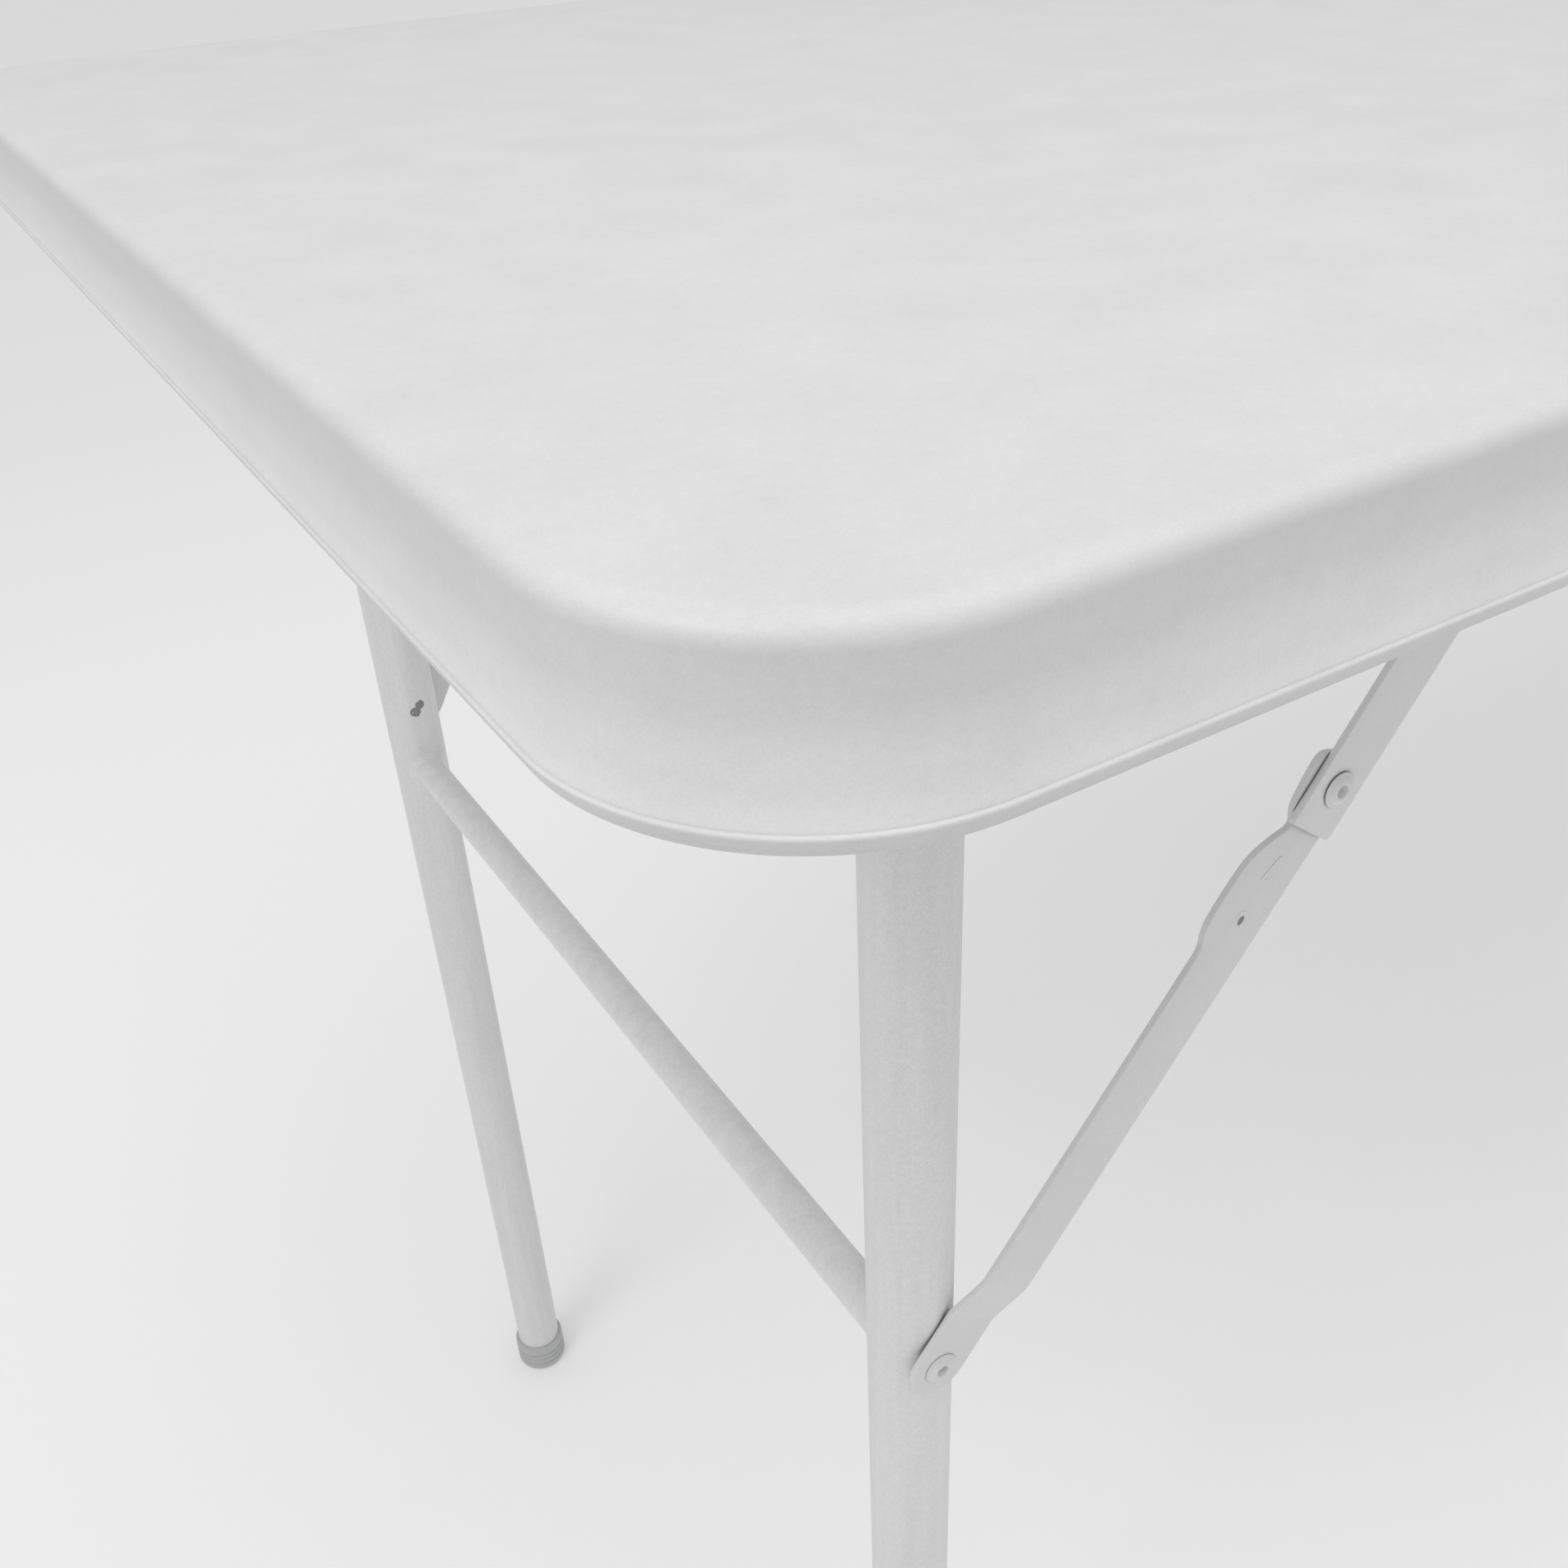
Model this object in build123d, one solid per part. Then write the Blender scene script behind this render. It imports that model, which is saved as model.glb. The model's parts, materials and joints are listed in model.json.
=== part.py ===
"""Folding table: a pressed steel tray top on two folding tube leg frames.

Millimetres, +Z up, the origin on the floor under the middle of the top.
+X runs along the long side and +Y along the short side.  The table stands
open.  Every piece of one corner is drawn for the left end (-X) and the near
side (-Y) and mirrored to the other corners.
"""
import os
from math import acos, atan2, cos, degrees, hypot, radians, sin

from build123d import *

# ---- overall sizes -------------------------------------------------------
TOP_LENGTH = 1800.0
TOP_WIDTH = 625.0
TOP_HEIGHT = 760.0

# ---- tray top ------------------------------------------------------------
SHEET = 1.5
SKIRT_DROP = 28.0          # top surface to the ridge above the hem
HEM_HEIGHT = 4.5
HEM_INSET = 2.7
HEM_WIDTH = 4.6            # skirt face to the inner face of the rolled hem
CORNER_RADIUS = 48.0
BEND_RADIUS = 5.0

# ---- rails under the top ---------------------------------------------------
RAIL_WIDTH = 40.0
RAIL_HEIGHT = 8.0
RAIL_SHEET = 1.5

# ---- leg frames ------------------------------------------------------------
LEG_DIAMETER = 25.0
LEG_WALL = 1.5
LEG_SPACING = 404.0        # between the two tube axes of one frame
HINGE_FROM_END = 110.0
HINGE_DROP = 40.4          # top surface to the hinge axis
LEG_ABOVE_HINGE = 10.0
PLUG_LIP = 2.0
CROSSBAR_DIAMETER = 14.0
CROSSBAR_WALL = 1.5
CROSSBAR_DROP = 307.0      # top surface to the crossbar axis
FOOT_WALL = 2.0
FOOT_HEIGHT = 20.0
FOOT_SOLE = 4.0

# ---- hinge bracket, bolt and bush ------------------------------------------
BRACKET_SHEET = 2.5
BRACKET_LENGTH = 36.0
CHEEK_GAP = 1.0            # tube side to the cheek
BOLT_DIAMETER = 8.0
BUSH_DIAMETER = 12.0
BUSH_PROUD = 0.6
RUNNING_FIT = 0.06         # radial play of a turning pin in its bore
HEAD_DIAMETER = 14.0
HEAD_HEIGHT = 3.6
NUT_ACROSS_FLATS = 13.0
NUT_HEIGHT = 6.5

# ---- folding stay ------------------------------------------------------------
STAY_TOP_DROP = 27.0       # top surface to the upper pivot
STAY_REACH = 211.9         # hinge axis to the upper pivot, level
STAY_DROP = 258.6          # hinge axis to the pivot on the leg
OVER_CENTRE = 0.03         # arm lengths beyond the straight distance
LOWER_WIDTH = 19.0
LOWER_SHEET = 2.0
UPPER_WIDTH = 19.0
UPPER_SHEET = 2.0
ARM_EDGE_RADIUS = 0.6
TAIL_LENGTH = 13.4         # knee pivot to the cut end of the upper arm
LEG_GAP = 0.4              # tube side to the pad of the lower arm
JOGGLE = 3.85
JOGGLE_START = 32.0        # leg pivot to the upper crease of the joggle
JOGGLE_RUN = 14.0
LUG_BULGE = 2.2            # how far the lug beside the knee stands out
NOTCH_DEPTH = 4.0
KNUCKLE_BULGE = 4.3
KNEE_SHEET = 1.2
KNEE_LENGTH = 60.0
KNEE_INSET = 2.2           # edge of the lower arm to the edge of the knee plate
LAYER_GAP = 0.3            # between faces that turn over each other
RIVET_DIAMETER = 6.0
RIVET_HEAD_DIAMETER = 10.5
RIVET_HEAD_HEIGHT = 1.5
RIVET_TAIL_HEIGHT = 0.8
LOCK_RIVET_OFFSET = 42.5
LOCK_RIVET_SIDE = 1.4      # toward the knuckle from the middle of the arm
STAY_BRACKET_WIDTH = 34.0
STAY_BRACKET_FOOT = 22.0

# ---- derived positions -----------------------------------------------------
UNDERSIDE = TOP_HEIGHT - SHEET
RAIL_BOTTOM = UNDERSIDE - RAIL_HEIGHT
RIDGE_Z = TOP_HEIGHT - SKIRT_DROP
HINGE_X = -(TOP_LENGTH / 2 - HINGE_FROM_END)
HINGE_Z = TOP_HEIGHT - HINGE_DROP
LEG_Y = -LEG_SPACING / 2
LEG_RADIUS = LEG_DIAMETER / 2
CROSSBAR_Z = TOP_HEIGHT - CROSSBAR_DROP
CHEEK_INNER = LEG_RADIUS + CHEEK_GAP
CHEEK_OUTER = CHEEK_INNER + BRACKET_SHEET

# Distances outward from the tube axis of each layer of a stay.
PAD_INNER = LEG_RADIUS + LEG_GAP
PAD_OUTER = PAD_INNER + LOWER_SHEET
LOWER_FACE = PAD_OUTER + JOGGLE
LOWER_BACK = LOWER_FACE - LOWER_SHEET
KNEE_BACK = LOWER_BACK - KNEE_SHEET
UPPER_INNER = LOWER_FACE + LAYER_GAP
UPPER_FACE = UPPER_INNER + UPPER_SHEET
STAY_BRACKET_INNER = UPPER_FACE + LAYER_GAP
STAY_BRACKET_OUTER = STAY_BRACKET_INNER + BRACKET_SHEET

# The two arms reach straight across the corner, bent a little past centre.
# With the leg folded the upper arm lies level, just under the rails.
STAY_TOP_RISE = HINGE_DROP - STAY_TOP_DROP
STAY_FALL = STAY_DROP + STAY_TOP_RISE
FOLDED_REACH = STAY_DROP - STAY_REACH
STRAIGHT = hypot(STAY_REACH, STAY_FALL)
ARM_SUM = STRAIGHT + OVER_CENTRE
UPPER_ARM = (ARM_SUM**2 - FOLDED_REACH**2 - STAY_TOP_RISE**2) / (
    2 * (ARM_SUM + FOLDED_REACH)
)
LOWER_ARM = ARM_SUM - UPPER_ARM
STAY_SLOPE = degrees(atan2(STAY_FALL, STAY_REACH))
UPPER_BEND = degrees(
    acos((STRAIGHT**2 + UPPER_ARM**2 - LOWER_ARM**2) / (2 * STRAIGHT * UPPER_ARM))
)
LOWER_BEND = degrees(
    acos((STRAIGHT**2 + LOWER_ARM**2 - UPPER_ARM**2) / (2 * STRAIGHT * LOWER_ARM))
)
# The knee sits below the straight line, away from the hinge corner.
UPPER_ANGLE = 180 + STAY_SLOPE + UPPER_BEND
LOWER_ANGLE = 180 + STAY_SLOPE - LOWER_BEND
KNEE_BEND = UPPER_BEND + LOWER_BEND

STAY_TOP = (HINGE_X + STAY_REACH, TOP_HEIGHT - STAY_TOP_DROP)
KNEE = (
    STAY_TOP[0] + UPPER_ARM * cos(radians(UPPER_ANGLE)),
    STAY_TOP[1] + UPPER_ARM * sin(radians(UPPER_ANGLE)),
)
STAY_FOOT = (HINGE_X, HINGE_Z - STAY_DROP)

ENDS = {"left": False, "right": True}
SIDES = {"near": False, "far": True}


# ---- helpers ---------------------------------------------------------------
def to_corner(shape, end, side):
    """Mirror a piece drawn for the left end, near side, to another corner."""
    if SIDES[side]:
        shape = mirror(shape, Plane.XZ)
    if ENDS[end]:
        shape = mirror(shape, Plane.YZ)
    return shape


def save(name, shape):
    """Write one node."""
    export_step(shape, os.path.join("parts", name + ".step"))


def save_group(name, shapes):
    """Write one node that holds several separate solids."""
    save(name, Compound(children=shapes))


def slab(outline, z_from, z_to):
    """Extrude a flat outline between two heights."""
    return Pos(0, 0, z_from) * extrude(outline, amount=z_to - z_from)


def rod(radius, z_from, z_to):
    """A cylinder along Z between two heights."""
    return Pos(0, 0, (z_from + z_to) / 2) * Cylinder(radius, z_to - z_from)


def stay_plane(point, angle):
    """A frame at a pivot: X along the arm, Z outward from the tube axis."""
    direction = (cos(radians(angle)), 0, sin(radians(angle)))
    return Plane(origin=(point[0], LEG_Y, point[1]), x_dir=direction, z_dir=(0, -1, 0))


def dome_head(radius, height, z_base):
    """A low domed rivet head standing on z_base."""
    head = rod(radius, z_base, z_base + height)
    rim = head.edges().group_by(Axis.Z)[-1]
    return fillet(rim, height * 0.85)


# ---- tray top ----------------------------------------------------------------
def make_top():
    """The pressed sheet: flat top, soft bend, skirt and rolled undercut hem."""
    outline = RectangleRounded(TOP_LENGTH, TOP_WIDTH, CORNER_RADIUS)
    shell = slab(outline, RIDGE_Z, TOP_HEIGHT)
    shell = fillet(shell.faces().sort_by(Axis.Z)[-1].edges(), BEND_RADIUS)
    hem_slope = degrees(atan2(HEM_INSET, HEM_HEIGHT))
    hem = Pos(0, 0, RIDGE_Z) * extrude(outline, amount=-HEM_HEIGHT, taper=hem_slope)
    inside = RectangleRounded(
        TOP_LENGTH - 2 * SHEET, TOP_WIDTH - 2 * SHEET, CORNER_RADIUS - SHEET
    )
    hollow = slab(inside, RIDGE_Z + SHEET, UNDERSIDE)
    hollow = fillet(hollow.faces().sort_by(Axis.Z)[-1].edges(), BEND_RADIUS - SHEET)
    mouth = RectangleRounded(
        TOP_LENGTH - 2 * HEM_WIDTH, TOP_WIDTH - 2 * HEM_WIDTH, CORNER_RADIUS - HEM_WIDTH
    )
    opening = slab(mouth, RIDGE_Z - HEM_HEIGHT - 1, RIDGE_Z + SHEET)
    return shell + hem - hollow - opening


def make_rail():
    """A top-hat rail across the tray, open side up against the sheet."""
    length = TOP_WIDTH - 2 * SHEET - 2 * BEND_RADIUS
    body = Box(RAIL_WIDTH, length, RAIL_HEIGHT)
    body = fillet(body.edges().filter_by(Axis.Y).group_by(Axis.Z)[0], 3)
    inner = Pos(0, 0, RAIL_SHEET) * Box(
        RAIL_WIDTH - 2 * RAIL_SHEET, length - 2 * RAIL_SHEET, RAIL_HEIGHT
    )
    return Pos(0, 0, RAIL_BOTTOM + RAIL_HEIGHT / 2) * (body - inner)


# ---- hinge -------------------------------------------------------------------
def hinge_plane():
    """A frame on the hinge axis: Z outward from the tube axis."""
    return Plane(origin=(HINGE_X, LEG_Y, HINGE_Z), x_dir=(1, 0, 0), z_dir=(0, -1, 0))


def make_hinge_bracket():
    """A U bracket under the rail with two cheeks around the tube."""
    top_z = RAIL_BOTTOM - HINGE_Z
    cheek = Rectangle(BRACKET_LENGTH, top_z) + Pos(0, -top_z / 2) * Circle(BRACKET_LENGTH / 2)
    cheek = Pos(0, top_z / 2) * cheek
    cheek = cheek - Circle(BOLT_DIAMETER / 2)
    outer = slab(cheek, CHEEK_INNER, CHEEK_OUTER)
    inner = slab(cheek, -CHEEK_OUTER, -CHEEK_INNER)
    bridge = Pos(0, top_z - BRACKET_SHEET / 2, 0) * Box(
        BRACKET_LENGTH, BRACKET_SHEET, 2 * CHEEK_OUTER
    )
    return hinge_plane() * (outer + inner + bridge)


def make_hinge_bolt():
    """The pivot bolt with a low domed head on the outer cheek."""
    shank = rod(BOLT_DIAMETER / 2, -CHEEK_OUTER - NUT_HEIGHT - 1.5, CHEEK_OUTER)
    head = dome_head(HEAD_DIAMETER / 2, HEAD_HEIGHT, CHEEK_OUTER)
    return hinge_plane() * (shank + head)


def make_hinge_nut():
    """The hexagon nut on the inner cheek."""
    outline = RegularPolygon(NUT_ACROSS_FLATS / 2, 6, major_radius=False)
    outline = outline - Circle(BOLT_DIAMETER / 2)
    return hinge_plane() * slab(outline, -CHEEK_OUTER - NUT_HEIGHT, -CHEEK_OUTER)


# ---- leg frame -----------------------------------------------------------------
def make_leg():
    """One straight tube, bored across its top for the bush."""
    z_top = HINGE_Z + LEG_ABOVE_HINGE
    tube = rod(LEG_RADIUS, FOOT_SOLE, z_top) - rod(LEG_RADIUS - LEG_WALL, FOOT_SOLE - 1, z_top + 1)
    tube = Pos(HINGE_X, LEG_Y, 0) * tube
    return tube - hinge_plane() * Cylinder(BUSH_DIAMETER / 2, 2 * LEG_DIAMETER)


def make_bush():
    """The steel bush welded through the tube."""
    half = LEG_RADIUS + BUSH_PROUD
    bush = rod(BUSH_DIAMETER / 2, -half, half)
    return hinge_plane() * (bush - rod(BOLT_DIAMETER / 2 + RUNNING_FIT, -half - 1, half + 1))


def make_plug():
    """The flat cap on the top end of a tube."""
    z_top = HINGE_Z + LEG_ABOVE_HINGE
    cap = rod(LEG_RADIUS, z_top, z_top + PLUG_LIP)
    cap = fillet(cap.edges().group_by(Axis.Z)[-1], PLUG_LIP * 0.7)
    return Pos(HINGE_X, LEG_Y, 0) * cap


def make_crossbar():
    """The thin tube between the legs, its ends coped to the leg tubes."""
    turn = Rot(90, 0, 0)
    bar = Cylinder(CROSSBAR_DIAMETER / 2, LEG_SPACING)
    bar = bar - Cylinder(CROSSBAR_DIAMETER / 2 - CROSSBAR_WALL, LEG_SPACING + 2)
    bar = Pos(HINGE_X, 0, CROSSBAR_Z) * (turn * bar)
    for side in (-1, 1):
        leg = Pos(HINGE_X, side * LEG_SPACING / 2, CROSSBAR_Z) * Cylinder(LEG_RADIUS, 60)
        bar = bar - leg
    return bar


def make_foot():
    """The moulded foot over the lower end of a tube."""
    radius = LEG_RADIUS + FOOT_WALL
    foot = rod(radius, 0, FOOT_HEIGHT)
    foot = fillet(foot.edges().group_by(Axis.Z)[0], 2.5)
    foot = chamfer(foot.edges().group_by(Axis.Z)[-1], 1.2)
    foot = foot - rod(LEG_RADIUS, FOOT_SOLE, FOOT_HEIGHT + 1)
    return Pos(HINGE_X, LEG_Y, 0) * foot


# ---- folding stay ----------------------------------------------------------------
def pin_bore(play=RUNNING_FIT):
    """The bore for a stay rivet, with its running play."""
    return rod(RIVET_DIAMETER / 2 + play, -80, 80)


def end_cutter(radius):
    """Everything on the -X side of the origin outside a round arm end."""
    reach = 3 * radius
    block = Pos(-reach / 2, 0) * Rectangle(reach, 2 * reach)
    return extrude(block - Circle(radius), amount=80, both=True)


def make_upper_arm():
    """The flat strip from the bracket under the top to just past the knee."""
    head = UPPER_WIDTH / 2
    length = UPPER_ARM + TAIL_LENGTH + head
    arm = Box(length, UPPER_WIDTH, UPPER_SHEET)
    arm = fillet(arm.edges().filter_by(Axis.X).group_by(Axis.Z)[-1], ARM_EDGE_RADIUS)
    arm = Pos(length / 2 - head, 0, UPPER_INNER + UPPER_SHEET / 2) * arm
    arm = arm - end_cutter(head)
    for x in (0, UPPER_ARM):
        arm = arm - Pos(x, 0) * pin_bore()
    return stay_plane(STAY_TOP, UPPER_ANGLE) * arm


def knuckle_edge(inset):
    """The shaped edge of the lower arm by the knee: lug, notch and knuckle."""
    half = LOWER_WIDTH / 2 - inset
    lug = half + LUG_BULGE
    notch = half - NOTCH_DEPTH
    knuckle = half + KNUCKLE_BULGE
    points = [(-8.5, notch), (-6.0, lug - 0.7), (-2.7, lug), (9.2, half + 0.3)]
    points += [(10.8, half - 0.8), (13.7, notch), (15.8, notch + 0.5), (18.8, half - 0.8)]
    points += [(25.3, knuckle - 1.1), (31.3, knuckle), (45.4, knuckle), (49.6, knuckle - 1.6)]
    return [(x, -y) for x, y in points] + [(52.8, -half)]


def make_lower_arm():
    """The strip from the knee to the leg, stepped in to lie beside the tube."""
    head = LOWER_WIDTH / 2
    step_start = LOWER_ARM - JOGGLE_START
    step_end = step_start + JOGGLE_RUN
    outline = knuckle_edge(0) + [(step_start, -head), (step_start, head), (-4.5, head)]
    outline += [(-8.5, head - 4)]
    arm = slab(make_face(Polyline(*outline, close=True)), LOWER_BACK, LOWER_FACE)
    step = make_face(
        Polyline(
            (step_start, LOWER_FACE),
            (step_end, PAD_OUTER),
            (LOWER_ARM + head, PAD_OUTER),
            (LOWER_ARM + head, PAD_INNER),
            (step_end - 0.3, PAD_INNER),
            (step_start - 0.3, LOWER_BACK),
            (step_start - 0.3, LOWER_FACE),
            close=True,
        )
    )
    step = Rot(90, 0, 0) * extrude(step, amount=head, both=True)
    step = step - Pos(LOWER_ARM, 0) * (Rot(0, 0, 180) * end_cutter(head))
    arm = arm + step
    for x, y in ((0, 0), (LOCK_RIVET_OFFSET, -LOCK_RIVET_SIDE), (LOWER_ARM, 0)):
        arm = arm - Pos(x, y) * pin_bore(0)
    return stay_plane(KNEE, LOWER_ANGLE) * arm


def make_knee_plate():
    """The thin plate that stiffens the knuckle from behind."""
    half = LOWER_WIDTH / 2 - KNEE_INSET
    outline = knuckle_edge(KNEE_INSET) + [(KNEE_LENGTH, -half + 3), (KNEE_LENGTH, half - 3)]
    outline += [(KNEE_LENGTH - 3, half), (-4.5, half), (-8.5, half - 3)]
    plate = slab(make_face(Polyline(*outline, close=True)), KNEE_BACK, LOWER_BACK)
    for x, y in ((0, 0), (LOCK_RIVET_OFFSET, -LOCK_RIVET_SIDE)):
        plate = plate - Pos(x, y) * pin_bore(0)
    return stay_plane(KNEE, LOWER_ANGLE) * plate


def make_knee_rivet():
    """The low domed rivet the knee turns on."""
    head_base = UPPER_FACE + LAYER_GAP
    shank = rod(RIVET_DIAMETER / 2, KNEE_BACK - RIVET_TAIL_HEIGHT, head_base)
    tail = rod(RIVET_DIAMETER * 0.8, KNEE_BACK - RIVET_TAIL_HEIGHT, KNEE_BACK)
    head = dome_head(RIVET_HEAD_DIAMETER / 2, RIVET_HEAD_HEIGHT, head_base)
    return stay_plane(KNEE, LOWER_ANGLE) * (shank + tail + head)


def make_lock_rivet():
    """The flush rivet that holds the knee plate to the lower arm."""
    shank = rod(RIVET_DIAMETER / 2, KNEE_BACK - RIVET_TAIL_HEIGHT, LOWER_FACE)
    tail = rod(RIVET_DIAMETER * 0.8, KNEE_BACK - RIVET_TAIL_HEIGHT, KNEE_BACK)
    rivet = Pos(LOCK_RIVET_OFFSET, -LOCK_RIVET_SIDE) * (shank + tail)
    return stay_plane(KNEE, LOWER_ANGLE) * rivet


def make_leg_rivet():
    """The pivot rivet in the pad of the lower arm, beside the tube."""
    shank = rod(RIVET_DIAMETER / 2, PAD_INNER, PAD_OUTER)
    head = dome_head(RIVET_HEAD_DIAMETER / 2, RIVET_HEAD_HEIGHT, PAD_OUTER)
    return stay_plane(KNEE, LOWER_ANGLE) * (Pos(LOWER_ARM, 0) * (shank + head))


def make_stay_bracket():
    """The hanging plate under the rail that carries the upper pivot."""
    top_z = RAIL_BOTTOM - STAY_TOP[1]
    half = STAY_BRACKET_WIDTH / 2
    plate = Pos(0, top_z / 2) * Rectangle(STAY_BRACKET_WIDTH, top_z) + Circle(half)
    plate = plate - Pos(0, top_z + half) * Rectangle(4 * half, 2 * half)
    plate = plate - Circle(RIVET_DIAMETER / 2)
    plate = slab(plate, STAY_BRACKET_INNER, STAY_BRACKET_OUTER)
    foot = Pos(0, top_z - BRACKET_SHEET / 2, STAY_BRACKET_INNER + STAY_BRACKET_FOOT / 2)
    foot = foot * Box(STAY_BRACKET_WIDTH, BRACKET_SHEET, STAY_BRACKET_FOOT)
    return stay_top_plane() * (plate + foot)


def stay_top_plane():
    """A frame on the upper stay pivot: Z outward from the tube axis."""
    return Plane(
        origin=(STAY_TOP[0], LEG_Y, STAY_TOP[1]), x_dir=(1, 0, 0), z_dir=(0, -1, 0)
    )


def make_stay_top_rivet():
    """The rivet that joins the upper arm to its bracket, flush on the arm."""
    shank = rod(RIVET_DIAMETER / 2, UPPER_INNER, STAY_BRACKET_OUTER)
    head = dome_head(RIVET_HEAD_DIAMETER / 2, RIVET_HEAD_HEIGHT, STAY_BRACKET_OUTER)
    return stay_top_plane() * (shank + head)


# ---- build ---------------------------------------------------------------------
def save_corners(name, shape):
    """Write one node for each of the four corners."""
    for end in ENDS:
        for side in SIDES:
            save(f"{name}_{end}_{side}", to_corner(shape, end, side))


def save_pairs(name, shape):
    """Write one node per end that holds the near and the far piece."""
    for end in ENDS:
        save_group(f"{name}_{end}", [to_corner(shape, end, side) for side in SIDES])


def main():
    """Build every node of the table."""
    os.makedirs("parts", exist_ok=True)
    save("table_top", make_top())
    rail = make_rail()
    save("centre_rail", rail)
    for end in ENDS:
        save(f"hinge_rail_{end}", to_corner(Pos(HINGE_X, 0, 0) * rail, end, "near"))
        save(f"stay_rail_{end}", to_corner(Pos(STAY_TOP[0], 0, 0) * rail, end, "near"))
        save(f"crossbar_{end}", to_corner(make_crossbar(), end, "near"))
    save_corners("hinge_bracket", make_hinge_bracket())
    save_pairs("hinge_bolts", make_hinge_bolt())
    save_pairs("hinge_nuts", make_hinge_nut())
    save_corners("leg", make_leg())
    save_pairs("leg_bushes", make_bush())
    save_pairs("leg_plugs", make_plug())
    save_corners("foot", make_foot())
    save_corners("stay_bracket", make_stay_bracket())
    save_pairs("stay_top_rivets", make_stay_top_rivet())
    save_corners("upper_arm", make_upper_arm())
    save_corners("lower_arm", make_lower_arm())
    save_corners("knee_plate", make_knee_plate())
    save_corners("knee_rivet", make_knee_rivet())
    save_corners("lock_rivet", make_lock_rivet())
    save_corners("leg_rivet", make_leg_rivet())


main()
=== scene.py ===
"""Looks of a steel folding table: powder coated tray top on two folding tube frames."""

import json
import logging
import math
from dataclasses import dataclass, field
from enum import Enum

import bmesh
import bpy
from mathutils import Matrix, Vector

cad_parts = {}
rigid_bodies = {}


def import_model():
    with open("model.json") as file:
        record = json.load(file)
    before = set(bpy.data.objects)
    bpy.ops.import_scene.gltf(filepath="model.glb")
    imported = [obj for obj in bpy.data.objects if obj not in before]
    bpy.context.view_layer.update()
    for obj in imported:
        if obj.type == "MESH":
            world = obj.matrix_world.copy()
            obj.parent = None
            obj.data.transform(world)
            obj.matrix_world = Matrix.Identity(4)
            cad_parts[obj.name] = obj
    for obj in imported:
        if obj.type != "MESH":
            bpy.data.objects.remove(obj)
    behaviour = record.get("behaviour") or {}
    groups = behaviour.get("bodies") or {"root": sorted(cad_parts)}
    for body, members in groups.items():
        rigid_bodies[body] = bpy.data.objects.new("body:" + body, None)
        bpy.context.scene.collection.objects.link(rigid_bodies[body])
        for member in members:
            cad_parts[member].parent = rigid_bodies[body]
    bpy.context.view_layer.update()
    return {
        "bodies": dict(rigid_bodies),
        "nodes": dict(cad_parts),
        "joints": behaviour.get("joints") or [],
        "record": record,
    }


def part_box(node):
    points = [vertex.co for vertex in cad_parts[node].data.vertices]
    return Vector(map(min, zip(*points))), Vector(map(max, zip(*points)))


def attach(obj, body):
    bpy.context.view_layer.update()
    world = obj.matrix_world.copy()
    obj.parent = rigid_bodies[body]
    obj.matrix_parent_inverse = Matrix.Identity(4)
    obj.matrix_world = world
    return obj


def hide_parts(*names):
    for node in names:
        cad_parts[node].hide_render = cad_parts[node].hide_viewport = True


LOG = logging.getLogger("folding_table")
MM = 0.001


class End(Enum):
    """The two ends of the table, with the side of X each is on."""

    LEFT = -1
    RIGHT = 1


class Side(Enum):
    """The two long sides of the table, with the side of Y each is on."""

    NEAR = -1
    FAR = 1


CORNERS = [(end, side) for end in End for side in Side]


# ---- small helpers -------------------------------------------------------------
def linear(hex_colour: str) -> tuple[float, float, float, float]:
    """Turn an sRGB hex colour into a linear RGBA tuple.

    Args:
        hex_colour: Six hex digits after a hash sign.

    Returns:
        The colour in linear light, with an alpha of one.
    """
    parts = [int(hex_colour[i : i + 2], 16) / 255 for i in (1, 3, 5)]
    curve = [c / 12.92 if c <= 0.04045 else ((c + 0.055) / 1.055) ** 2.4 for c in parts]
    return (curve[0], curve[1], curve[2], 1.0)


def add_node(
    tree: bpy.types.NodeTree,
    kind: str,
    settings: dict[str, object] | None = None,
    inputs: dict[str | int, object] | None = None,
) -> bpy.types.Node:
    """Add one shader node with its settings, values and links.

    Args:
        tree: The node tree that gets the node.
        kind: The node's type name.
        settings: Attributes of the node.
        inputs: Values or output sockets for its input sockets.

    Returns:
        The new node.
    """
    node = tree.nodes.new(kind)
    for name, value in (settings or {}).items():
        setattr(node, name, value)
    for name, value in (inputs or {}).items():
        if isinstance(value, bpy.types.NodeSocket):
            tree.links.new(value, node.inputs[name])
        else:
            node.inputs[name].default_value = value
    return node


def add_noise(
    tree: bpy.types.NodeTree,
    where: bpy.types.NodeSocket,
    size_mm: float,
    detail: float,
    roughness: float = 0.5,
) -> bpy.types.NodeSocket:
    """Add a noise whose features have a real size.

    Args:
        tree: The material's nodes.
        where: Object coordinates, in metres.
        size_mm: About how wide its features are.
        detail: How many finer octaves it has.
        roughness: How strong those octaves are.

    Returns:
        The noise as a factor.
    """
    inputs = {"Vector": where, "Scale": 1 / (size_mm * MM), "Detail": detail}
    inputs["Roughness"] = roughness
    return add_node(tree, "ShaderNodeTexNoise", inputs=inputs).outputs["Fac"]


def add_range(
    tree: bpy.types.NodeTree,
    value: bpy.types.NodeSocket,
    source: tuple[float, float],
    target: tuple[float, float] = (0.0, 1.0),
) -> bpy.types.NodeSocket:
    """Map one range of a value onto another.

    Args:
        tree: The material's nodes.
        value: The value to map.
        source: The range it comes in.
        target: The range it leaves in.

    Returns:
        The mapped value.
    """
    ends = {"From Min": source[0], "From Max": source[1], "To Min": target[0], "To Max": target[1]}
    return add_node(tree, "ShaderNodeMapRange", inputs={"Value": value, **ends}).outputs["Result"]


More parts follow.
